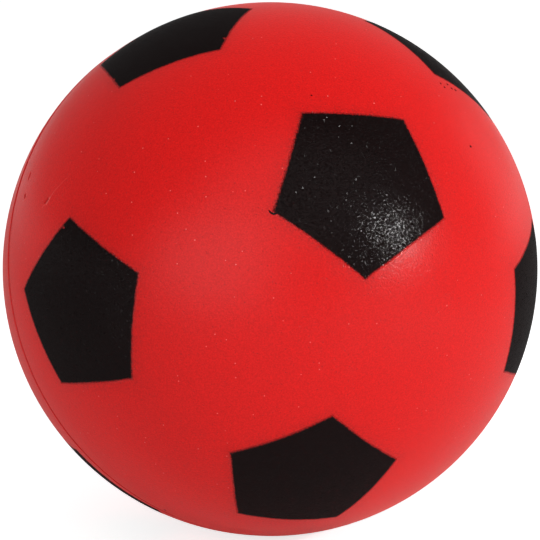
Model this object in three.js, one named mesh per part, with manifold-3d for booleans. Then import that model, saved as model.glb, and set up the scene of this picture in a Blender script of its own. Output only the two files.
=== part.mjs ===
// Foam soccer ball, 200 mm across. A soft foam core carries a red skin that was formed in the
// two halves of a mould, and twelve black pentagons lie in the skin, one at each corner of an
// icosahedron. The ball stands at rest on the small flat that its own weight presses into it.
// Millimetres, +Z up, origin in the middle of that flat. The front of the ball faces -Y.
import * as THREE from "three";
import { mergeVertices } from "three/addons/utils/BufferGeometryUtils.js";
import Module from "manifold-3d";

const wasm = await Module();
wasm.setup();

// Body of the ball.
const BALL_DIAMETER = 200;
const SKIN_THICKNESS = 2;
const CORE_CLEARANCE = 0.3; // between the core and the skin round it
const REST_FLAT_RADIUS = 11; // contact patch where the foam yields under the ball's weight

// Parting line, where the two halves of the mould met.
const PARTING_GAP = 0.3; // between the rims of the two skins
const GROOVE_WIDTH = 1.4;
const GROOVE_DEPTH = 0.6;
const MOULD_SLIP = 0.3; // how far the rear half of the mould sat out of line
const MOULD_SLIP_CLOCK = 290; // the way it slipped, in degrees clockwise from up

// Black pentagons. An arc is measured over the curve of the ball.
const PENTAGON_CORNER_ARC = 31.7; // from a pentagon's centre to a corner
const PENTAGON_THICKNESS = 0.4;
const PENTAGON_PROUD = 0.1; // how far a pentagon stands out of the skin
const PENTAGON_CLEARANCE = 0.3; // between a pentagon and its pocket, under it and round it
const CUTTER_MARGIN = 5; // how far a cutter reaches out of the ball

// How the ball lies: the way its mould's axis points out of the front, in degrees. The azimuth
// turns from -Y towards +X, and the elevation rises.
const MOULD_AZIMUTH = 20.5;
const MOULD_ELEVATION = 17.5;

// How the spraying jig held the ball, in degrees. The pattern's axis leans away from the mould's
// towards a clock angle, and the spin is the clock angle of the front ring's first pentagon.
const PATTERN_LEAN = 7.2;
const PATTERN_LEAN_CLOCK = -13;
const PATTERN_SPIN = 42.4;

// How far the sprayed pentagons lie from their ideal places, in degrees about the ball's centre:
// clockwise round the front centre and outwards from it, and for the front centre itself to the
// right and up.
const SPRAY_DRIFT = {
  pentagon_front_centre: [1.1, 1.1],
  pentagon_front_1: [0.3, -3.4],
  pentagon_front_2: [-2.6, -2],
  pentagon_front_3: [2, -0.6],
  pentagon_front_4: [-1.4, 0],
  pentagon_front_5: [1.1, -2.3],
  pentagon_rear_3: [0, -4.5],
};

// Facets, by the length of their edges on the curve of the ball.
const OUTER_FACET = 9.2;
const INNER_FACET = 16;

const ballRadius = BALL_DIAMETER / 2;
const skinInnerRadius = ballRadius - SKIN_THICKNESS;
const coreRadius = skinInnerRadius - CORE_CLEARANCE;
const pentagonOuterRadius = ballRadius + PENTAGON_PROUD;
const pentagonInnerRadius = pentagonOuterRadius - PENTAGON_THICKNESS;
const pocketFloorRadius = pentagonInnerRadius - PENTAGON_CLEARANCE;
const centreHeight = Math.sqrt(ballRadius ** 2 - REST_FLAT_RADIUS ** 2);
const cutterRadius = pentagonOuterRadius + CUTTER_MARGIN;

const UP = new THREE.Vector3(0, 0, 1);
const CORNERS = 5;
const CORNER_STEP = 360 / CORNERS;
const RING_POLAR = THREE.MathUtils.radToDeg(Math.atan(2)); // icosahedron, corner to corner
const radians = THREE.MathUtils.degToRad;

// A closed solid from a three.js geometry.
function solidOf(geometry) {
  geometry.deleteAttribute("normal");
  geometry.deleteAttribute("uv");
  const merged = mergeVertices(geometry);
  return new wasm.Manifold(
    new wasm.Mesh({
      numProp: 3,
      vertProperties: merged.attributes.position.array,
      triVerts: new Uint32Array(merged.index.array),
    }),
  );
}

// A three.js geometry from a closed solid.
function geometryOf(solid) {
  const { vertProperties, triVerts } = solid.getMesh();
  const geometry = new THREE.BufferGeometry();
  geometry.setAttribute("position", new THREE.BufferAttribute(vertProperties, 3));
  geometry.setIndex(new THREE.BufferAttribute(triVerts, 1));
  geometry.computeVertexNormals();
  return geometry;
}

// A geodesic ball about the origin, with a corner of its icosahedron at +Z and the next one
// towards +Y. The icosahedron's edges are cut to the length of a facet.
function geodesicBall(radius, facet) {
  const golden = (1 + Math.sqrt(5)) / 2;
  const facetsPerEdge = Math.round((ballRadius * radians(RING_POLAR)) / facet);
  const geometry = new THREE.IcosahedronGeometry(radius, facetsPerEdge - 1);
  geometry.rotateX(-Math.atan(1 / golden));
  return solidOf(geometry);
}

// The frame whose +Z leaves the ball at an azimuth and an elevation, with +Y on its upper side.
function frameFacing(azimuth, elevation) {
  const level = Math.cos(radians(elevation));
  const axis = new THREE.Vector3(
    level * Math.sin(radians(azimuth)),
    -level * Math.cos(radians(azimuth)),
    Math.sin(radians(elevation)),
  );
  const right = new THREE.Vector3().crossVectors(UP, axis).normalize();
  const upper = new THREE.Vector3().crossVectors(axis, right);
  return new THREE.Matrix4().makeBasis(right, upper, axis);
}

// A turn about +Z, clockwise as the front is seen, so that +Y goes to that clock angle.
function clockTurn(degrees) {
  return new THREE.Matrix4().makeRotationZ(-radians(degrees));
}

// Moves a pentagon from +Z to its place in the pattern. It lies a polar angle down from the
// front centre and a clock angle round it, and is first turned about its own middle.
function pentagonMove({ name, polar, clock, turn }) {
  const [clockwise, outwards] = SPRAY_DRIFT[name] ?? [0, 0];
  return clockTurn(clock)
    .multiply(new THREE.Matrix4().makeRotationX(-radians(polar + outwards)))
    .multiply(new THREE.Matrix4().makeRotationY(radians(clockwise)))
    .multiply(clockTurn(turn));
}

// The twelve pentagons: two centres and two rings of five, each with a corner towards its
// neighbours.
function pentagonList() {
  const list = [
    { name: "pentagon_front_centre", polar: 0, clock: 0, turn: PATTERN_SPIN },
    { name: "pentagon_rear_centre", polar: 180, clock: PATTERN_SPIN, turn: 0, rear: true },
  ];
  for (let i = 0; i < CORNERS; i += 1) {
    const clock = PATTERN_SPIN + CORNER_STEP * i;
    list.push({ name: `pentagon_front_${i + 1}`, polar: RING_POLAR, clock, turn: 180 });
    list.push({
      name: `pentagon_rear_${i + 1}`,
      polar: 180 - RING_POLAR,
      clock: clock + CORNER_STEP / 2,
      turn: 0,
      rear: true,
    });
  }
  return list;
}

// A pentagonal pyramid from the ball's centre out through +Z, with a corner towards +Y. Its
// sides pass through the centre, so they cut the ball along great circles.
function pentagonPyramid(clearance) {
  const halfStep = radians(CORNER_STEP / 2);
  const toSide = Math.atan(Math.tan(PENTAGON_CORNER_ARC / ballRadius) * Math.cos(halfStep));
  const tanToCorner = Math.tan(toSide + clearance / ballRadius) / Math.cos(halfStep);
  const pyramid = new THREE.ConeGeometry(cutterRadius * tanToCorner, cutterRadius, CORNERS);
  pyramid.translate(0, -cutterRadius / 2, 0);
  pyramid.rotateX(-Math.PI / 2);
  return solidOf(pyramid);
}

// One black pentagon, curved as the ball is.
function pentagonSolid() {
  return pentagonPyramid(0)
    .intersect(geodesicBall(pentagonOuterRadius, OUTER_FACET))
    .subtract(geodesicBall(pentagonInnerRadius, OUTER_FACET));
}

// What is cut out of the skins for a pentagon: the pentagon with its clearance, and open above.
function pocketCutter() {
  return pentagonPyramid(PENTAGON_CLEARANCE).subtract(geodesicBall(pocketFloorRadius, OUTER_FACET));
}

// The V that the two rims form at the parting line, round the mould's axis.
function grooveCutter() {
  const bottom = ballRadius - GROOVE_DEPTH;
  const half = ((GROOVE_WIDTH / 2) * (cutterRadius - bottom)) / GROOVE_DEPTH;
  const outline = [
    new THREE.Vector2(bottom, 0),
    new THREE.Vector2(cutterRadius, -half),
    new THREE.Vector2(cutterRadius, half),
    new THREE.Vector2(bottom, 0),
  ];
  const steps = Math.round((2 * Math.PI * ballRadius) / OUTER_FACET);
  const ring = new THREE.LatheGeometry(outline, steps);
  ring.rotateX(Math.PI / 2);
  return solidOf(ring);
}

// Cuts away what lies under the floor. The frame takes the solid's own axes to the ball's.
function pressedFlat(solid, frame) {
  const up = UP.clone().transformDirection(frame.clone().invert());
  const shift = new THREE.Vector3().setFromMatrixPosition(frame).dot(UP);
  return solid.trimByPlane(up.toArray(), -centreHeight - shift);
}

const mouldFrame = frameFacing(MOULD_AZIMUTH, MOULD_ELEVATION);
const patternFrame = mouldFrame
  .clone()
  .multiply(clockTurn(PATTERN_LEAN_CLOCK))
  .multiply(new THREE.Matrix4().makeRotationX(-radians(PATTERN_LEAN)))
  .multiply(clockTurn(-PATTERN_LEAN_CLOCK));
const slip = new THREE.Vector3(0, MOULD_SLIP, 0).applyMatrix4(clockTurn(MOULD_SLIP_CLOCK));
const slipInMould = new THREE.Matrix4().makeTranslation(slip);
const slipInBall = new THREE.Matrix4().makeTranslation(slip.clone().applyMatrix4(mouldFrame));

const pentagons = pentagonList().map((entry) => {
  const frame = patternFrame.clone().multiply(pentagonMove(entry));
  if (entry.rear) frame.premultiply(slipInBall);
  return { name: entry.name, frame };
});

// All twelve pockets, in the mould's frame.
function pocketsInMould() {
  const cutter = pocketCutter();
  const toMould = mouldFrame.clone().invert();
  return wasm.Manifold.union(
    pentagons.map(({ frame }) => cutter.transform(toMould.clone().multiply(frame).elements)),
  );
}

// One half of the skin: side 1 is the front and side -1 the rear, which sat out of line.
function skinHalf(side, pockets) {
  const outOfLine = side < 0 ? slipInMould : new THREE.Matrix4();
  const outside = geodesicBall(ballRadius, OUTER_FACET).transform(outOfLine.elements);
  const groove = grooveCutter().transform(outOfLine.elements);
  const whole = outside
    .subtract(geodesicBall(skinInnerRadius, INNER_FACET))
    .trimByPlane([0, 0, side], PARTING_GAP / 2)
    .subtract(groove)
    .subtract(pockets);
  return pressedFlat(whole, mouldFrame);
}

function named(name, solid, material) {
  const mesh = new THREE.Mesh(geometryOf(solid), material);
  mesh.name = name;
  return mesh;
}

const foam = new THREE.MeshStandardMaterial({ color: "#e8dcc4", roughness: 0.95, metalness: 0 });
const redSkin = new THREE.MeshStandardMaterial({ color: "#dc2528", roughness: 0.5, metalness: 0 });
const blackPaint = new THREE.MeshStandardMaterial({ color: "#151112", roughness: 0.4, metalness: 0 });

const moulding = new THREE.Group();
const pockets = pocketsInMould();
moulding.add(
  named("foam_core", pressedFlat(geodesicBall(coreRadius, INNER_FACET), mouldFrame), foam),
  named("front_skin", skinHalf(1, pockets), redSkin),
  named("rear_skin", skinHalf(-1, pockets), redSkin),
);
moulding.applyMatrix4(mouldFrame);

const pattern = new THREE.Group();
const pentagon = pentagonSolid();
for (const { name, frame } of pentagons) {
  const mesh = named(name, pressedFlat(pentagon, frame), blackPaint);
  mesh.applyMatrix4(frame);
  pattern.add(mesh);
}

const ball = new THREE.Group();
ball.add(moulding, pattern);
ball.position.z = centreHeight;

export default ball;
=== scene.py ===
# Foam soccer ball: how it looks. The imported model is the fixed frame, and every piece here is
# built round the ball's centre, in metres, and then lifted to its place on the floor.
import math

import bmesh
import bpy
from mathutils import Matrix, Vector, noise


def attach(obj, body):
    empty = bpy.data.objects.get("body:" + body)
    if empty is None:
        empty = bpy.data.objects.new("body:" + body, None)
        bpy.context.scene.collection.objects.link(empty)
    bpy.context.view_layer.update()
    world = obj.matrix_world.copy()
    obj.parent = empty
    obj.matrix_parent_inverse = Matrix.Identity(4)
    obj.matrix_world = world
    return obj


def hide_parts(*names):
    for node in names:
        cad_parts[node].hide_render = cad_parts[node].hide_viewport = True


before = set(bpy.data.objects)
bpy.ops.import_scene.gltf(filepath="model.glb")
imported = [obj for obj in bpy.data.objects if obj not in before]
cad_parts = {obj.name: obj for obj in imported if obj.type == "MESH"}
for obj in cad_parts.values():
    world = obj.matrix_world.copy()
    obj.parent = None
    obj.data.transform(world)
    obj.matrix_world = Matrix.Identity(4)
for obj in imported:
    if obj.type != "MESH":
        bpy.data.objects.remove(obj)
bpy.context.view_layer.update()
print("frame loaded:", len(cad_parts), "nodes")

mm = 0.001

ball = {
    "radius": 100 * mm,
    "restFlatRadius": 11 * mm,  # where the soft foam yields on the floor
    "contactRounding": 0.12 * mm,  # how softly the ball leaves the floor round the flat
    "contactReach": 2 * mm,  # the height up to which that rounding is felt
}
ball["centre"] = Vector((0, 0, math.sqrt(ball["radius"] ** 2 - ball["restFlatRadius"] ** 2)))


# A direction from the ball's centre. Azimuth turns from the front, -Y, towards +X.
def direction(azimuth, elevation):
    a, e = math.radians(azimuth), math.radians(elevation)
    return Vector((math.sin(a) * math.cos(e), -math.cos(a) * math.cos(e), math.sin(e)))


# The right and upper directions of someone who faces the ball from that direction.
def rightAndUp(outward):
    right = Vector((0, 0, 1)).cross(outward).normalized()
    return right, outward.cross(right)


# Camera: the angle and the framing of the photograph.
view = {
    "azimuth": 0,
    "elevation": 10,
    "distance": 700 * mm,
    "lens": 123.35,  # millimetres, on the sensor width below
    "sensor": 36,
    "clip": (0.05, 60),  # metres
    "sideways": -0.14 * mm,  # the ball stands a third of a pixel right of the middle
    "upwards": -0.33 * mm,  # and nearly one above it
}


def makeCamera():
    back = direction(view["azimuth"], view["elevation"])
    right, up = rightAndUp(back)
    data = bpy.data.cameras.new("camera")
    data.lens = view["lens"]
    data.sensor_width = view["sensor"]
    data.clip_start, data.clip_end = view["clip"]
    camera = bpy.data.objects.new("camera", data)
    bpy.context.scene.collection.objects.link(camera)
    offset = right * view["sideways"] + up * view["upwards"]
    camera.location = ball["centre"] + back * view["distance"] + offset
    camera.rotation_euler = back.to_track_quat("Z", "Y").to_euler()
    bpy.context.scene.camera = camera


makeCamera()
print("camera placed")


# Colours are sRGB hex values.
def hexToLinear(code):
    channels = [int(code[i : i + 2], 16) / 255 for i in (1, 3, 5)]
    return [c / 12.92 if c <= 0.04045 else ((c + 0.055) / 1.055) ** 2.4 for c in channels] + [1]


# Adds one node. Settings are its own properties, and values and links go by socket name or number.
def addNode(tree, kind, settings=None, values=None, links=None):
    node = tree.nodes.new(kind)
    for name, value in (settings or {}).items():
        setattr(node, name, value)
    for socket, value in (values or {}).items():
        node.inputs[socket].default_value = value
    for socket, source in (links or {}).items():
        tree.links.new(source, node.inputs[socket])
    return node


def newMaterial(name):
    material = bpy.data.materials.new(name)
    material.use_nodes = True
    material.node_tree.nodes.clear()
    return material, material.node_tree


noiseBand = (0.35, 0.65)  # where most of a noise pattern's values lie


# A noise pattern whose grain is about that many millimetres.
def noiseOf(tree, place, grain, detail=2.0, roughness=0.5):
    return addNode(
        tree,
        "ShaderNodeTexNoise",
        values={"Scale": 1 / (grain * mm), "Detail": detail, "Roughness": roughness},
        links={"Vector": place},
    ).outputs["Fac"]


# Turns a value from one range into another, and stops at its ends.
def ramp(tree, value, low, high, toLow=0.0, toHigh=1.0, smooth=False):
    return addNode(
        tree,
        "ShaderNodeMapRange",
        settings={"interpolation_type": "SMOOTHSTEP" if smooth else "LINEAR"},
        values={"From Min": low, "From Max": high, "To Min": toLow, "To Max": toHigh},
        links={"Value": value},
    ).outputs["Result"]


def maths(tree, operation, first, second):
    node = addNode(tree, "ShaderNodeMath", settings={"operation": operation})
    for socket, value in enumerate((first, second)):
        if isinstance(value, (int, float)):
            node.inputs[socket].default_value = value
        else:
            tree.links.new(value, node.inputs[socket])
    return node.outputs[0]


def blendColours(tree, share, first, second, kind="MIX"):
    node = addNode(tree, "ShaderNodeMix", settings={"data_type": "RGBA", "blend_type": kind})
    for socket, value in ((0, share), (6, first), (7, second)):
        if isinstance(value, (int, float, list)):
            node.inputs[socket].default_value = value
        else:
            tree.links.new(value, node.inputs[socket])
    return node.outputs[2]


# Dots scattered over the surface: about one in a cell of that width, and only a share of them.
def dotsOf(tree, place, cell, radius, share, softness=0.5):
    cells = addNode(
        tree,
        "ShaderNodeTexVoronoi",
        values={"Scale": 1 / (cell * mm), "Randomness": 1.0},
        links={"Vector": place},
    )
    inside = ramp(tree, cells.outputs["Distance"], radius / cell, radius / cell * softness)
    pick = addNode(tree, "ShaderNodeSeparateColor", links={"Color": cells.outputs["Color"]})
    kept = ramp(tree, pick.outputs[0], share, share - 0.001)
    return maths(tree, "MULTIPLY", inside, kept)


# Moulded polyurethane integral skin, red: a soft skin whose fine pits scatter light evenly out to
# the ball's edge, with a thin satin top that gives a broken, slightly pale highlight.
skinFinish = {
    "red": "#e8130f",
    "deepRed": "#cf0303",
    # painted shade: the colour that the pinholes are darkened towards
    "paleDot": "#f5a19b",
    "pinhole": "#8f1011",
    # the scratch's real scuff, and a painted highlight on the nicks' lips
    "scuff": "#ee8f88",
    # painted shade: the colour that the parting line's groove and the nicks' pits are darkened
    # towards
    "groove": "#9c0f10",
    "roughness": 0.6,
    "specular": 0.02,  # the pits leave hardly any mirror under the satin top
    "scatter": 1.0,
    "gloss": 0.4,  # how much of the skin carries the satin top
    "glossRoughness": 0.28,
    "glossIor": 1.6,
    "sheen": 0.14,
    "sheenRoughness": 0.35,
    "sheenTint": "#ffc4bc",
    "grain": 0.75,  # millimetres, from pit to pit
    "grainDepth": 0.11,
    "peel": 5.0,  # the slow unevenness of soft foam
    "peelDepth": 0.05,
    "mottle": 0.55,
    "dotCell": 3.1,
    "dotRadius": 0.25,
    "pinholeCell": 1.5,
    "pinholeRadius": 0.3,
    "pinholeDepth": 0.05,
    "pinholeShare": 0.45,  # of the cells that have one
    # painted shade: how far the pinholes are darkened
    "pinholeStrength": 0.4,
    "dotShare": 0.4,
    "dotStrength": 0.55,
    "dotSoftness": 0.8,
    "roughnessBand": (0.3, 0.7),
    "roughnessSpread": 0.05,
    "dropStrength": 2.0,  # the drops' densest places against their mean
    "dropGrain": 0.7,  # millimetres, as fine as the render can show the overspray's drops
}

# Sprayed flexible paint, black: a matt film whose drying surface draws together into fine worm-like
# beads with a thin gloss on them, which sparkle where a lamp is mirrored.
coatFinish = {
    "black": "#0c0101",
    "softBlack": "#100202",
    "roughness": 0.8,
    "ior": 1.45,
    "specular": 0.01,
    "gloss": 0.105,  # how much of the film carries the glossy top
    "glossRoughness": 0.14,
    "glossIor": 1.85,  # a broken top mirrors less at a glancing angle than a smooth one would
    "bead": 1.15,  # millimetres between the beads
    "beadDepth": 0.2,
    "valley": 0.05,  # how much of the film the valleys between them take
    "fine": 0.8,
    "fineDepth": 0.12,
    "fleckCell": 1.05,  # millimetres, from fleck to fleck
    "fleckRadius": 0.44,
    "fleckSoftness": 0.8,
    "fleckTilt": 1.5,
    "mist": 0.3,  # millimetres by which the spray's drops roughen its edge
    "mistGrain": 0.5,
    "mistBand": (0.25, 0.75),
    "cloud": 14.0,  # millimetres across the slow changes of its black
    "skinHeight": 0.5,  # how much of the skin's grain the film follows
    "haze": 0.15,  # overspray on the red that shows through at the edge
}


# The skin's colour, roughness and height, which the coat shares where it thins out.
def skinPattern(tree, place):
    f = skinFinish
    mottle = noiseOf(tree, place, f["mottle"], detail=4.0, roughness=0.7)
    colour = blendColours(
        tree,
        ramp(tree, mottle, *noiseBand),
        hexToLinear(f["deepRed"]),
        hexToLinear(f["red"]),
    )
    pinholes = dotsOf(tree, place, f["pinholeCell"], f["pinholeRadius"], f["pinholeShare"])
    # Painted shade in the pinholes: their colour is darkened.
    paintedShade = maths(tree, "MULTIPLY", pinholes, f["pinholeStrength"])
    colour = blendColours(tree, paintedShade, colour, hexToLinear(f["pinhole"]))
    dots = dotsOf(tree, place, f["dotCell"], f["dotRadius"], f["dotShare"], f["dotSoftness"])
    pale = maths(tree, "MULTIPLY", dots, f["dotStrength"])
    colour = blendColours(tree, pale, colour, hexToLinear(f["paleDot"]))
    grain = noiseOf(tree, place, f["grain"], detail=3.0, roughness=0.6)
    height = maths(tree, "MULTIPLY", grain, f["grainDepth"])
    height = maths(
        tree, "SUBTRACT", height, maths(tree, "MULTIPLY", pinholes, f["pinholeDepth"])
    )
    peel = noiseOf(tree, place, f["peel"], detail=1.0, roughness=0.4)
    height = maths(tree, "ADD", height, maths(tree, "MULTIPLY", peel, f["peelDepth"]))
    smoothest, roughest = (f["roughness"] + sign * f["roughnessSpread"] for sign in (-1, 1))
    rough = ramp(tree, mottle, *f["roughnessBand"], smoothest, roughest)
    return colour, rough, height


def attributeOf(tree, name):
    return addNode(tree, "ShaderNodeAttribute", settings={"attribute_name": name}).outputs["Fac"]


# Ends a material. Constants go onto the shader's own sockets, and what changes over the surface
# reaches it by a link.
def finishWith(tree, colour, rough, height, constants, flecks=None, changing=None):
    normal = addNode(
        tree,
        "ShaderNodeBump",
        values={"Strength": 1.0, "Distance": mm},
        links={"Height": height},
    ).outputs["Normal"]
    if flecks:
        bent = addNode(tree, "ShaderNodeVectorMath", links={0: normal, 1: flecks})
        normal = addNode(
            tree,
            "ShaderNodeVectorMath",
            settings={"operation": "NORMALIZE"},
            links={0: bent.outputs["Vector"]},
        ).outputs["Vector"]
    links = {"Base Color": colour, "Roughness": rough, "Normal": normal, **(changing or {})}
    if "Coat IOR" in constants:
        links["Coat Normal"] = normal
    shader = addNode(tree, "ShaderNodeBsdfPrincipled", values=constants, links=links)
    addNode(
        tree, "ShaderNodeOutputMaterial", links={"Surface": shader.outputs["BSDF"]}
    )


def makeSkinMaterial():
    f = skinFinish
    material, tree = newMaterial("moulded polyurethane skin, red")
    place = addNode(tree, "ShaderNodeTexCoord").outputs["Object"]
    colour, rough, height = skinPattern(tree, place)
    drops = noiseOf(tree, place, f["dropGrain"])
    drops = ramp(tree, drops, *noiseBand, 0.0, f["dropStrength"])
    drops = maths(tree, "MULTIPLY", drops, attributeOf(tree, "haze"))
    colour = blendColours(tree, drops, colour, hexToLinear(coatFinish["black"]))
    # Painted shade darkens the parting line's groove and the nicks' pits.
    colour = blendColours(tree, attributeOf(tree, "groove"), colour, hexToLinear(f["groove"]))
    # Paler along the scratch, which is real scuffing, and on the nicks' lips, which is a painted
    # highlight.
    colour = blendColours(tree, attributeOf(tree, "scuff"), colour, hexToLinear(f["scuff"]))
    constants = {
        "Diffuse Roughness": f["scatter"],
        "Specular IOR Level": f["specular"],
        "Coat Weight": f["gloss"],
        "Coat Roughness": f["glossRoughness"],
        "Coat IOR": f["glossIor"],
        "Sheen Weight": f["sheen"],
        "Sheen Roughness": f["sheenRoughness"],
        "Sheen Tint": hexToLinear(f["sheenTint"]),
    }
    finishWith(tree, colour, rough, height, constants)
    return material


# Flat flecks, each with a tilt of its own, that flash where they mirror a lamp.
def flecksOf(tree, place, f):
    cells = addNode(
        tree,
        "ShaderNodeTexVoronoi",
        values={"Scale": 1 / (f["fleckCell"] * mm), "Randomness": 1.0},
        links={"Vector": place},
    )
    size = f["fleckRadius"] / f["fleckCell"]
    inside = ramp(tree, cells.outputs["Distance"], size, size * f["fleckSoftness"])
    tilt = addNode(
        tree,
        "ShaderNodeVectorMath",
        settings={"operation": "SUBTRACT"},
        values={1: (0.5, 0.5, 0.5)},
        links={0: cells.outputs["Color"]},
    ).outputs["Vector"]
    steepness = addNode(
        tree, "ShaderNodeVectorMath", settings={"operation": "LENGTH"}, links={0: tilt}
    ).outputs["Value"]  # so most flecks lie nearly flat and a few stand steeply
    steepness = maths(tree, "MULTIPLY", steepness, f["fleckTilt"])
    return addNode(
        tree,
        "ShaderNodeVectorMath",
        settings={"operation": "SCALE"},
        links={0: tilt, "Scale": maths(tree, "MULTIPLY", inside, steepness)},
    ).outputs["Vector"]


def makeCoatMaterial():
    f = coatFinish
    material, tree = newMaterial("sprayed flexible paint, black")
    place = addNode(tree, "ShaderNodeTexCoord").outputs["Object"]
    skinColour, _, skinHeight = skinPattern(tree, place)
    inside = attributeOf(tree, "insideEdge")
    mist = ramp(tree, noiseOf(tree, place, f["mistGrain"]), *f["mistBand"], -1.0, 1.0)
    reach = maths(tree, "ADD", inside, maths(tree, "MULTIPLY", mist, f["mist"]))
    reach = maths(tree, "DIVIDE", reach, attributeOf(tree, "edgeSoftness"))
    covered = ramp(tree, reach, -1.0, 1.0, smooth=True)
    cloud = noiseOf(tree, place, f["cloud"])
    black = blendColours(tree, cloud, hexToLinear(f["black"]), hexToLinear(f["softBlack"]))
    skinColour = blendColours(tree, f["haze"], skinColour, black)
    colour = blendColours(tree, covered, skinColour, black)
    wave = maths(tree, "SUBTRACT", noiseOf(tree, place, f["bead"], detail=1.0), 0.5)
    away = maths(tree, "ABSOLUTE", wave, 0)
    bead = ramp(tree, away, 0.0, f["valley"], 0.0, f["beadDepth"], smooth=True)
    fine = maths(tree, "MULTIPLY", noiseOf(tree, place, f["fine"], detail=1.0), f["fineDepth"])
    grain = maths(tree, "MULTIPLY", skinHeight, f["skinHeight"])
    height = maths(tree, "ADD", bead, maths(tree, "ADD", fine, grain))
    rough = ramp(tree, covered, 0.0, 1.0, skinFinish["roughness"], f["roughness"])
    constants = {
        "IOR": f["ior"],
        "Specular IOR Level": f["specular"],
        "Coat Roughness": f["glossRoughness"],
        "Coat IOR": f["glossIor"],
    }
    # The skin keeps its own satin top up to where the paint covers it.
    tops = {"Coat Weight": ramp(tree, covered, 0.0, 1.0, skinFinish["gloss"], f["gloss"])}
    flecks = addNode(
        tree,
        "ShaderNodeVectorMath",
        settings={"operation": "SCALE"},
        links={0: flecksOf(tree, place, f), "Scale": covered},
    ).outputs["Vector"]
    finishWith(tree, colour, rough, height, constants, flecks, tops)
    return material


# Open-cell flexible foam, cream: matt, with pores that show where it is cut, painted darker in them
# as a painted shade. It is hidden.
foamFinish = {
    # painted shade in the pores
    "shade": "#c9b894",
    "cream": "#eee2c6",
    "pore": 0.9,  # millimetres, from pore to pore
    "poreEdge": 0.1,
    "poreEnd": 0.6,
    "poreDepth": 0.3,
    "poreRoughness": 0.98,
    "wallRoughness": 0.88,
    "ior": 1.4,
}


def makeFoamMaterial():
    f = foamFinish
    material, tree = newMaterial("open-cell polyurethane foam, cream")
    place = addNode(tree, "ShaderNodeTexCoord").outputs["Object"]
    pores = addNode(
        tree,
        "ShaderNodeTexVoronoi",
        values={"Scale": 1 / (f["pore"] * mm)},
        links={"Vector": place},
    ).outputs["Distance"]
    # Painted shade: darker towards each pore's deepest point.
    colour = blendColours(
        tree,
        ramp(tree, pores, f["poreEdge"], f["poreEnd"]),
        hexToLinear(f["shade"]),
        hexToLinear(f["cream"]),
    )
    rough = ramp(tree, pores, 0.0, f["poreEnd"], f["poreRoughness"], f["wallRoughness"])
    height = maths(tree, "MULTIPLY", pores, f["poreDepth"])
    finishWith(tree, colour, rough, height, {"IOR": f["ior"]})
    return material


skinRed = makeSkinMaterial()
coatBlack = makeCoatMaterial()
foamCream = makeFoamMaterial()
print("materials made")


sharpAngle = 50  # degrees between faces, above which an edge stays sharp


# Lifts a finished mesh to its place, and makes it a piece that stands for its CAD node.
def finishPiece(bm, name, material, nodes):
    bmesh.ops.translate(bm, verts=bm.verts[:], vec=ball["centre"])
    mesh = bpy.data.meshes.new(name)
    bm.to_mesh(mesh)
    bm.free()
    mesh.shade_smooth()
    mesh.set_sharp_from_angle(angle=math.radians(sharpAngle))
    mesh.materials.append(material)
    piece = bpy.data.objects.new(name, mesh)
    bpy.context.scene.collection.objects.link(piece)
    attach(piece, "root")
    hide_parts(*nodes)
    return piece


# Lifts a point that would lie below the floor, softly, onto it.
def pressOnFloor(point):
    height = point.z + ball["centre"].z
    if height > ball["contactReach"]:
        return point
    soft = ball["contactRounding"]
    lifted = (height + math.sqrt(height * height + soft * soft)) / 2
    return Vector((point.x, point.y, lifted - ball["centre"].z))


# Foam core: one soft ball with open pores, sealed in by the skin.
core = {
    "radius": 97.7 * mm,
    "poreDepth": 0.5 * mm,
    "poreSize": 2.4 * mm,
    "flatHeight": 2.3 * mm,  # of its own flat above the floor
    "subdivisions": 6,
}


def makeCore():
    bm = bmesh.new()
    bmesh.ops.create_icosphere(bm, subdivisions=core["subdivisions"], radius=core["radius"])
    floor = core["flatHeight"] - ball["centre"].z
    for vert in bm.verts:
        pore = noise.noise(vert.co / core["poreSize"])
        vert.co *= 1 - core["poreDepth"] * (0.5 + 0.5 * pore) / core["radius"]
        vert.co.z = max(vert.co.z, floor)
    piece = finishPiece(bm, "foamCore", foamCream, ["foam_core"])


makeCore()
print("core made")


# Mould: the way its axis points, and how its rear half sat out of line.
mould = {
    "azimuth": 20.5,
    "elevation": 17.5,
    "slip": 0.3 * mm,
    "slipClock": 290,  # degrees clockwise from up, as the front is seen
}
mouldAxis = direction(mould["azimuth"], mould["elevation"])
mouldRight, mouldUp = rightAndUp(mouldAxis)
slipClock = math.radians(mould["slipClock"])
rearSlip = (mouldRight * math.sin(slipClock) + mouldUp * math.cos(slipClock)) * mould["slip"]

# How far each mask's corners were bent out of shape, in millimetres to the right and up as the
# pentagon is faced, from its lower left or left corner on by its lowest one.
maskBend = {
    "pentagon_front_centre": [(-0.7, 0.1), (0.4, 0), (0.8, 1.2), (-0.4, 1), (-0.2, 0.5)],
    "pentagon_front_4": [(1, -0.6), (0.3, 0.7), (-1.2, 0.9), (-1.6, -0.2), (-0.6, -2.1)],
    "pentagon_front_3": [(-0.4, 0.2), (-0.8, 0.3), (-0.1, 0.1), (0.4, 0.7), (0, 0)],
    "pentagon_front_5": [(0, 0), (-0.8, -0.2), (-0.6, 1), (0, 0), (0, 0)],
    "pentagon_front_2": [(0.3, -0.6), (0, 0), (0, 0), (0, 0), (0, 0.3)],
    "pentagon_front_1": [(0, 0), (0, 0), (0, 0), (0, 0), (0.5, -0.6)],
}

# Masks whose sides were drawn in by more than the usual bow.
maskBow = {"pentagon_front_centre": 0.42 * mm}


# How the corners are found in a CAD pentagon's mesh.
cornerSearch = {
    "outerBand": 0.3 * mm,  # its outer face lies this close to its farthest point
    "apart": 15,  # degrees, at least, between two corners
    "rounds": 3,  # the first middle leans to where the CAD mesh has more points
}


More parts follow.
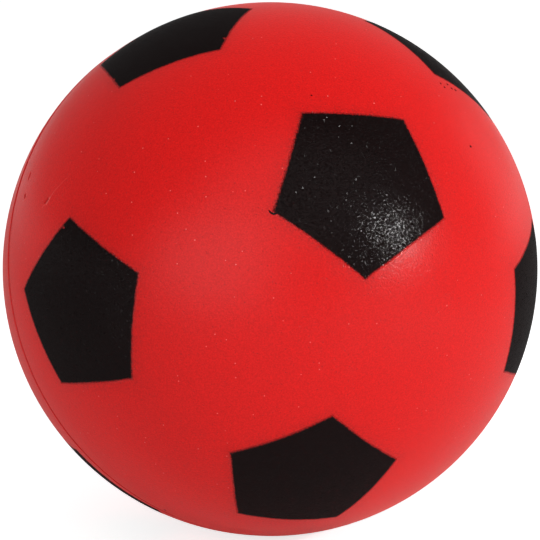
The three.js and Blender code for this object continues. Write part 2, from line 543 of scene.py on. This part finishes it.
# The five corners of a CAD pentagon as directions from its own centre of curvature. A corner is
# the farthest point from the middle, and the next one lies well away from it.
def cornersOf(node, centre):
    points = [v.co - ball["centre"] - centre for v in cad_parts[node].data.vertices]
    farthest = max(p.length for p in points)
    outer = [p.normalized() for p in points if p.length > farthest - cornerSearch["outerBand"]]
    middle = sum(outer, Vector()).normalized()
    for _ in range(cornerSearch["rounds"]):
        left, corners = outer, []
        while left:
            tip = max(left, key=lambda p: p.angle(middle))
            corners.append(tip)
            left = [p for p in left if p.angle(tip) > math.radians(cornerSearch["apart"])]
        corners = corners[:5]
        middle = sum(corners, Vector()).normalized()
    right, up = rightAndUp(middle)
    corners.sort(key=lambda c: math.atan2(c.dot(up), c.dot(right)))
    return middle, corners


# A mask: its centre of curvature, and its middle, corners and sides as directions.
def makeMask(node):
    centre = rearSlip if "rear" in node else Vector((0, 0, 0))
    middle, corners = cornersOf(node, centre)
    right, up = rightAndUp(middle)
    for i, (sideways, upwards) in enumerate(maskBend.get(node, [])):
        bend = (right * sideways + up * upwards) * mm / ball["radius"]
        corners[i] = (corners[i] + bend).normalized()
    sides = [a.cross(b).normalized() for a, b in zip(corners, corners[1:] + corners[:1])]
    return centre, middle, corners, sides


pentagonNodes = sorted(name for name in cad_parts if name.startswith("pentagon"))
masks = {node: makeMask(node) for node in pentagonNodes}

# Overspray, the likely cause of the duller red beside every pentagon: fine drops that drifted past
# the masks.
haze = {
    "cover": 0.16,  # share of the skin that the drops cover at the mask's edge
    "reach": 2.2 * mm,  # over which that falls to about a third
}


# The side that a direction is nearest to, and the angle by which it lies inside it.
def nearestSide(sides, out):
    return min((math.asin(max(-1, min(1, side.dot(out)))), i) for i, side in enumerate(sides))


def hazeAt(out):
    _, _, _, sides = max(masks.values(), key=lambda mask: mask[1].dot(out))
    depth = nearestSide(sides, out)[0] * ball["radius"]
    return haze["cover"] * math.exp(min(0, depth) / haze["reach"])


# Skin: two halves whose rims round off into the parting line.
skin = {
    "thickness": 2 * mm,
    "gap": 0.3 * mm,
    "lipWidth": 0.5 * mm,
    "lipDepth": 0.6 * mm,
    # painted shade: the parting line's groove is darkened towards its bottom by this much
    "dirt": 0.15,  # how much darker the parting line is at its bottom
    "lipSteps": (0.02, 0.08, 0.18, 0.32, 0.5, 0.72, 1.0),
    "subdivisions": 7,
    "innerSubdivisions": 5,
}


# Marks of use on the left of the ball, as (azimuth, elevation) in degrees: nicks, each pressed in
# beside a raised lip, and a faint scratch that fades out upwards. The scratch is scuffed paler; the
# nicks carry a painted shade in their pits and a painted highlight on their lips.
wear = {
    "place": (-60, 22),
    "nearness": 0.94,  # the cosine of how far from there the marks lie at most
    "pits": [
        [(-69.6, 23.8), (-69.4, 22.6)],
        [(-67.9, 19.3), (-67.2, 18.9)],
        [(-55.8, 19.2), (-55.1, 19.9)],
    ],
    "lips": [
        [(-70.6, 24.4), (-70.6, 22.8)],
        [(-66.2, 19.4), (-67.4, 18.1)],
        [(-55.0, 18.9), (-54.3, 20.4)],
    ],
    "depths": [0.2, 0.3, 0.3],  # millimetres
    "lipHeight": 0.4,  # of the pit's depth
    # painted highlight: how pale the lips are painted
    "lipScuff": 0.45,
    # painted shade: how far the pits are darkened
    "pitDark": 0.6,
    "refining": ((3.0 * mm, 2), (1.5 * mm, 2), (0.7 * mm, 1)),  # reaches, and cuts in each edge
    "pitWidth": 0.9 * mm,
    "lipWidth": 0.45 * mm,
    "scratch": [(-56.4, 18.1), (-54.6, 20.2), (-53.2, 22.1), (-50.5, 24.7), (-47.9, 27.7)],
    "scratchWidth": 0.2 * mm,
    "scratchStrength": 0.4,
    "scratchLength": 24 * mm,
}


def pathOf(places):
    return [direction(*place) * ball["radius"] for place in places]


# How far a point lies from a line drawn over the ball.
def distanceTo(path, point):
    nearest = 2 * ball["radius"]
    for start, end in zip(path, path[1:]):
        share = (point - start).dot(end - start) / (end - start).length_squared
        share = max(0, min(1, share))
        nearest = min(nearest, (point - start.lerp(end, share)).length)
    return nearest


# Whether a point of the skin is on the worn side of the ball.
def isWorn(point):
    return point.dot(direction(*wear["place"])) > wear["nearness"] * point.length


# Finer faces on the worn side, within that reach of its marks.
def refineMarks(bm, paths, reach, cuts):
    near = []
    for edge in bm.edges:
        middle = (edge.verts[0].co + edge.verts[1].co) / 2
        if isWorn(middle) and min(distanceTo(path, middle) for path in paths) < reach:
            near.append(edge)
    bmesh.ops.subdivide_edges(bm, edges=near, cuts=cuts, use_grid_fill=True)
    bmesh.ops.triangulate(bm, faces=[face for face in bm.faces if len(face.verts) > 3])


# A soft bump: 1 on the line and 0 beyond its width.
def softBand(distance, width):
    share = max(0, 1 - distance / width)
    return share * share * (3 - 2 * share)


# How far the nicks push a point out, how pale it is there (the scratch's real scuff, and a painted
# highlight on the nicks' lips) and how dark (painted shade in the pits).
def wearAt(point, scratch, nicks):
    push, paintedShade = 0, 0
    scuff = softBand(distanceTo(scratch, point), wear["scratchWidth"])
    scuff *= wear["scratchStrength"] * softBand((point - scratch[0]).length, wear["scratchLength"])
    for pit, lip, depth in nicks:
        pressed = softBand(distanceTo(pit, point), wear["pitWidth"])
        raised = softBand(distanceTo(lip, point), wear["lipWidth"])
        push += depth * (wear["lipHeight"] * raised - pressed)
        scuff = max(scuff, wear["lipScuff"] * raised)
        paintedShade = max(paintedShade, wear["pitDark"] * pressed)
    return push, scuff, paintedShade


# Half of a ball, cut at its rim, with the rows of points that the rounded lip needs.
def halfBall(side, radius, subdivisions, centre, steps):
    bm = bmesh.new()
    bmesh.ops.create_icosphere(
        bm, subdivisions=subdivisions, radius=radius, matrix=Matrix.Translation(centre)
    )
    axis = mouldAxis * side
    rim = axis * skin["gap"] / 2
    bmesh.ops.bisect_plane(
        bm, geom=bm.verts[:] + bm.edges[:] + bm.faces[:], plane_co=rim, plane_no=axis,
        clear_inner=True,
    )
    for step in steps:
        bmesh.ops.bisect_plane(
            bm,
            geom=bm.verts[:] + bm.edges[:] + bm.faces[:],
            plane_co=rim + axis * skin["lipWidth"] * step,
            plane_no=axis,
        )
    return bm, axis


def makeSkinHalf(name, side, centre):
    bm, axis = halfBall(side, ball["radius"], skin["subdivisions"], centre, skin["lipSteps"])
    scratch = pathOf(wear["scratch"])
    pits = [pathOf(places) for places in wear["pits"]]
    lips = [pathOf(places) for places in wear["lips"]]
    nicks = [(pit, lip, depth * mm) for pit, lip, depth in zip(pits, lips, wear["depths"])]
    if side > 0:
        paths = [scratch] + pits + lips
        for reach, cuts in wear["refining"]:
            refineMarks(bm, paths, reach, cuts)
    # Per point: the scratch's scuff with a painted highlight on the nicks' lips, painted shade in
    # the groove and pits, and overspray.
    scuffAndLipHighlightLayer = bm.verts.layers.float.new("scuff")
    recessShadeLayer = bm.verts.layers.float.new("groove")
    hazed = bm.verts.layers.float.new("haze")
    for vert in bm.verts:
        t = (vert.co.dot(axis) - skin["gap"] / 2) / skin["lipWidth"]
        out = (vert.co - centre).normalized()
        vert[hazed] = hazeAt(out)
        push = 0
        if t < 1:
            push = -skin["lipDepth"] * (1 - math.sqrt(max(0, 1 - (1 - t) ** 2)))
            # Painted shade in the parting line's groove, darkest at its bottom.
            vert[recessShadeLayer] = skin["dirt"] * max(0, 1 - t)
        elif side > 0 and isWorn(out):
            push, vert[scuffAndLipHighlightLayer], vert[recessShadeLayer] = wearAt(out * ball["radius"], scratch, nicks)
        vert.co = pressOnFloor(centre + out * (ball["radius"] + push))
    inner, axis = halfBall(
        side, ball["radius"] - skin["thickness"], skin["innerSubdivisions"], Vector(), ()
    )
    bmesh.ops.reverse_faces(inner, faces=inner.faces[:])
    floor = skin["thickness"] - ball["centre"].z
    for vert in inner.verts:
        vert.co.z = max(vert.co.z, floor)
    innerMesh = bpy.data.meshes.new("inner")
    inner.to_mesh(innerMesh)
    inner.free()
    bm.from_mesh(innerMesh)
    bpy.data.meshes.remove(innerMesh)
    rims = [edge for edge in bm.edges if edge.is_boundary]
    bmesh.ops.bridge_loops(bm, edges=rims)
    openEdges = sum(edge.is_boundary for edge in bm.edges)
    print(name, len(bm.faces), "faces, open edges", openEdges)
    finishPiece(bm, name, skinRed, [name.replace("Skin", "_skin")])


makeSkinHalf("frontSkin", 1, Vector((0, 0, 0)))
makeSkinHalf("rearSkin", -1, rearSlip)
print("skins made")


# Pentagons: a coat of paint, thin at its edge. Each takes its corners from its CAD node.
coat = {
    "thickness": 0.08 * mm,
    "proud": 0.06 * mm,
    "edgeProud": 0.012 * mm,
    "margin": 0.5 * mm,  # how far the thinnest mist reaches past the mask's edge
    "softness": 0.5,  # millimetres on each side of that edge where the paint thins out
    "cuts": 31,
    "edgeBand": 1.6 * mm,
    "edgeCuts": 2,
    "wobble": 0.14 * mm,
    "wobbleLength": 5 * mm,
    "jag": 0.12 * mm,
    "jagLength": 0.9 * mm,
    "bow": 0.15 * mm,  # how far the middle of each side is drawn in, as the flexible mask bends
    "shiftFade": 2 * mm,  # how far inside the edge its wobble dies out
    "proudFade": 1.2 * mm,  # how far inside it the film reaches its full height
    "seedSteps": (17.3, 5.1, 31.7),  # so that no two edges wobble alike
    "strokeRows": 11,
    "strokeTip": 0.98,  # how nearly the ends of a stroke run to a point
}

# Edges where the mask stood off the ball, by their side's number from that same corner: there the
# paint thins out over so many millimetres.
softEdges = {
    "pentagon_front_centre": {3: 0.65, 4: 0.75},
    "pentagon_front_3": {3: 0.75, 4: 0.45},
}

# Faults of the spraying, as (azimuth, elevation) in degrees and widths in millimetres: specks and
# threads of paint beside the pentagons, and spots in them that stayed bare.
strayPaint = {
    "pentagon_front_centre": [
        {"path": [(-0.4, 21.1), (0.1, 20.5), (0.6, 20.3), (1.1, 20.4), (1.6, 20.8)], "width": 0.75},
        {"path": [(11.1, 45.5), (11.5, 45.3)], "width": 0.5},
    ],
    "pentagon_front_1": [
        {"path": [(60.8, 46.6), (61.3, 46.4)], "width": 0.85},
        {"path": [(61.1, 45.5), (61.6, 45.3)], "width": 0.85},
        {"path": [(64.8, 46.1), (65.4, 45.9)], "width": 0.85},
        {"path": [(65.1, 44.9), (65.8, 44.7)], "width": 0.85},
        {"path": [(66.7, 44.3), (67.5, 44.1)], "width": 0.85},
        {"path": [(54.1, 31.4), (54.7, 31.2)], "width": 0.85},
    ],
    "pentagon_front_3": [{"path": [(-40.3, -53.4), (-39.4, -53.6)], "width": 0.6}],
}
bareSpots = {
    "pentagon_front_4": [{"path": [(-47.2, 15.2), (-46.6, 15.0)], "width": 0.28}],
    "pentagon_front_3": [{"path": [(17.2, -52.9), (20.5, -53.1), (24.2, -53.6)], "width": 0.3}],
    "pentagon_front_5": [
        {"path": [(-55.2, 47.9), (-54.4, 47.4)], "width": 0.7},
        {"path": [(-20.8, 62.9), (-19.8, 62.4)], "width": 0.3},
    ],
}


# A stroke of paint over the skin, widest in its middle.
def addStroke(bm, inside, softness, places, width):
    path = pathOf(places)
    rows = []
    for row in range(coat["strokeRows"]):
        share = row / (coat["strokeRows"] - 1)
        at = share * (len(path) - 1)
        start = min(int(at), len(path) - 2)
        ahead = (path[start + 1] - path[start]).normalized()
        out = path[start].lerp(path[start + 1], at - start).normalized()
        half = width / 2 * math.sqrt(1 - (coat["strokeTip"] * (2 * share - 1)) ** 2)
        across = ahead.cross(out) * half
        base = out * (ball["radius"] + coat["proud"])
        rows.append([bm.verts.new(base - across), bm.verts.new(base + across)])
    for near, far in zip(rows, rows[1:]):
        face = bm.faces.new([near[0], near[1], far[1], far[0]])
        face.normal_update()
        if face.normal.dot(near[0].co) < 0:
            face.normal_flip()
    for vert in sum(rows, []):
        vert[inside] = vert[softness] = 1.0


def makeCoat(node, index):
    centre, middle, corners, sides = masks[node]
    radius = ball["radius"]
    bare = [(pathOf(m["path"]), m["width"] * mm / 2) for m in bareSpots.get(node, [])]
    inset = sum(math.asin(side.dot(middle)) for side in sides) / 5
    grow = math.tan(inset + coat["margin"] / radius) / math.tan(inset)
    bm = bmesh.new()
    flat = [middle + (c / c.dot(middle) - middle) * grow for c in corners]
    face = bm.faces.new([bm.verts.new(point) for point in flat])
    bmesh.ops.poke(bm, faces=[face])
    bmesh.ops.subdivide_edges(bm, edges=bm.edges[:], cuts=coat["cuts"], use_grid_fill=True)
    near = []
    for edge in bm.edges:
        out = ((edge.verts[0].co + edge.verts[1].co) / 2).normalized()
        if nearestSide(sides, out)[0] < coat["edgeBand"] / radius:
            near.append(edge)
    bmesh.ops.subdivide_edges(bm, edges=near, cuts=coat["edgeCuts"], use_grid_fill=True)
    bmesh.ops.triangulate(bm, faces=[f for f in bm.faces if len(f.verts) > 3])
    inside = bm.verts.layers.float.new("insideEdge")
    softness = bm.verts.layers.float.new("edgeSoftness")
    softSides = softEdges.get(node, {})
    nodeStep, start, sideStep = coat["seedSteps"]
    seed = Vector((nodeStep * index, start, 0))
    for vert in bm.verts:
        out = vert.co.normalized()
        angle, side = nearestSide(sides, out)
        depth = angle * radius
        cover = [distanceTo(path, out * radius) - half for path, half in bare]
        vert[inside] = min([depth] + cover) / mm
        vert[softness] = softSides.get(side, coat["softness"])
        along = out.angle(corners[side]) * radius
        place = seed + Vector((0, 0, sideStep * side))
        shift = coat["wobble"] * noise.noise(place + Vector((along / coat["wobbleLength"], 0, 0)))
        shift += coat["jag"] * noise.noise(place + Vector((0, along / coat["jagLength"], 0)))
        share = along / (corners[side].angle(corners[(side + 1) % 5]) * radius)
        shift += maskBow.get(node, coat["bow"]) * 4 * share * max(0, 1 - share)
        shift *= max(0, 1 - abs(depth) / coat["shiftFade"])
        out = (out + sides[side] * shift / radius).normalized()
        fade = max(0, min(1, (depth + coat["margin"]) / coat["proudFade"]))
        fade = fade * fade * (3 - 2 * fade)
        proud = coat["edgeProud"] + (coat["proud"] - coat["edgeProud"]) * fade
        vert.co = out * (radius + proud)
    bmesh.ops.recalc_face_normals(bm, faces=bm.faces[:])
    if bm.faces[0].normal.dot(middle) < 0:
        bmesh.ops.reverse_faces(bm, faces=bm.faces[:])
    for mark in strayPaint.get(node, []):
        addStroke(bm, inside, softness, mark["path"], mark["width"] * mm)
    bmesh.ops.solidify(bm, geom=bm.faces[:], thickness=coat["thickness"])
    for vert in bm.verts:
        vert.co = pressOnFloor(centre + vert.co)
    name = "coat" + "".join(word.capitalize() for word in node.split("_")[1:])
    return finishPiece(bm, name, coatBlack, [node])


for index, node in enumerate(pentagonNodes):
    piece = makeCoat(node, index)
    print(piece.name, len(piece.data.polygons), "faces")
print("pentagons made")


# Studio: a wide sheet of white paper, a dim room round it and soft lamps.
studio = {
    "floorSize": 30,
    "paper": "#f6f6f6",
    "glow": 0.75,  # what the backdrop's white adds to the light on the paper
    "room": 0.34,
    "farFloor": (2.0, 6.0),  # metres from the ball, where mirrored rays begin to see the white
    "lowSky": (0.12, 0.03),  # and the sine of the height above the horizon where they see it
}

# Azimuths and elevations in degrees, distances and widths in metres, powers in watts.
lamps = {
    "key": {"place": (51.2, 19), "distance": 0.9, "size": (0.08, 0.08), "power": 3.4},
    "right": {"place": (85, 32), "distance": 1.5, "size": (1.4, 1.4), "power": 0.5},
    "fill": {"place": (-23.4, 12), "distance": 1.3, "size": (1.2, 0.8), "power": 3.2},
    "front": {"place": (15, 40), "distance": 1.5, "size": (2.4, 1.3), "power": 5.1},
    "backRight": {"place": (125, 15), "distance": 1.2, "size": (0.6, 0.6), "power": 0.5},
}


# The white backdrop is what the camera sees, and what is mirrored where the backdrop reaches.
def backdropRays(tree, reach):
    rays = addNode(tree, "ShaderNodeLightPath")
    mirrored = maths(
        tree, "MAXIMUM", rays.outputs["Is Glossy Ray"], rays.outputs["Is Transmission Ray"]
    )
    mirrored = maths(tree, "MULTIPLY", mirrored, reach)
    return maths(tree, "MAXIMUM", rays.outputs["Is Camera Ray"], mirrored)


def makePaper():
    material, tree = newMaterial("matt white paper")
    place = addNode(tree, "ShaderNodeTexCoord").outputs["Object"]
    away = addNode(
        tree, "ShaderNodeVectorMath", settings={"operation": "LENGTH"}, links={0: place}
    ).outputs["Value"]
    reach = ramp(tree, away, *studio["farFloor"], smooth=True)
    paper = addNode(
        tree, "ShaderNodeBsdfDiffuse", values={"Color": hexToLinear(studio["paper"])}
    )
    glow = addNode(
        tree,
        "ShaderNodeEmission",
        values={"Color": (1, 1, 1, 1)},
        links={"Strength": maths(tree, "MULTIPLY", backdropRays(tree, reach), studio["glow"])},
    )
    both = addNode(
        tree,
        "ShaderNodeAddShader",
        links={0: paper.outputs["BSDF"], 1: glow.outputs["Emission"]},
    )
    addNode(tree, "ShaderNodeOutputMaterial", links={"Surface": both.outputs["Shader"]})
    return material


def makeRoom():
    world = bpy.data.worlds.new("room")
    bpy.context.scene.world = world
    world.use_nodes = True
    tree = world.node_tree
    tree.nodes.clear()
    way = addNode(tree, "ShaderNodeTexCoord").outputs["Generated"]
    height = addNode(tree, "ShaderNodeSeparateXYZ", links={"Vector": way}).outputs["Z"]
    reach = ramp(tree, height, *studio["lowSky"], smooth=True)
    air = addNode(
        tree,
        "ShaderNodeBackground",
        values={"Color": (1, 1, 1, 1)},
        links={"Strength": ramp(tree, backdropRays(tree, reach), 0.0, 1.0, studio["room"], 1.0)},
    )
    addNode(tree, "ShaderNodeOutputWorld", links={"Surface": air.outputs["Background"]})


def makeLamp(name, lamp):
    data = bpy.data.lights.new(name, "AREA")
    data.shape = "ELLIPSE"
    data.size, data.size_y = lamp["size"]
    data.energy = lamp["power"]
    light = bpy.data.objects.new(name, data)
    bpy.context.scene.collection.objects.link(light)
    out = direction(*lamp["place"])
    light.location = ball["centre"] + out * lamp["distance"]
    light.rotation_euler = out.to_track_quat("Z", "Y").to_euler()


def makeStudio():
    bm = bmesh.new()
    bmesh.ops.create_grid(bm, x_segments=1, y_segments=1, size=studio["floorSize"] / 2)
    mesh = bpy.data.meshes.new("floor")
    bm.to_mesh(mesh)
    bm.free()
    mesh.materials.append(makePaper())
    floor = bpy.data.objects.new("floor", mesh)
    bpy.context.scene.collection.objects.link(floor)
    makeRoom()
    for name, lamp in lamps.items():
        makeLamp(name, lamp)


makeStudio()
bpy.context.scene.view_settings.view_transform = "Standard"
print("studio made")
